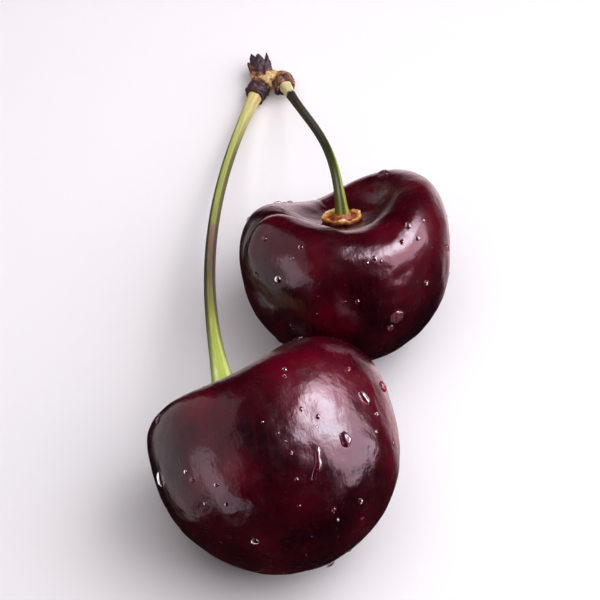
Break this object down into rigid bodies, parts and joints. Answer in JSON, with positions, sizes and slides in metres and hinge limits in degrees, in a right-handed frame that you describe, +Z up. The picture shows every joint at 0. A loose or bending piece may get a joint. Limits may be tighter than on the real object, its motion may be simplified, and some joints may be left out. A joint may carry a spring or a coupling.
{
  "type": "pair of sweet cherries on joined stalks",
  "caption": "Glossy dark red sweet cherries lying on a surface, their curved green stalks joined at a brown woody spur; fresh fruit for eating or display.",
  "frame": {"origin": "middle of the flat spot under the large cherry, on the surface the pair lies on", "axes": "+Z up, +Y from the large cherry towards the spur, +X to the right, where the small cherry lies"},
  "size_m": [0.0326, 0.0691, 0.0235],
  "materials": {
    "cherry_skin": "wet waxy fruit skin, dark red to near black",
    "stalk": "smooth fresh green stalk",
    "spur_bark": "rough dry brown bark and bud scales"
  },
  "bodies": {
    "root": {"cherry_large": "cherry_skin", "cherry_small": "cherry_skin", "stalk_large": "stalk", "stalk_small": "stalk", "spur": "spur_bark"}
  },
  "joints": []
}
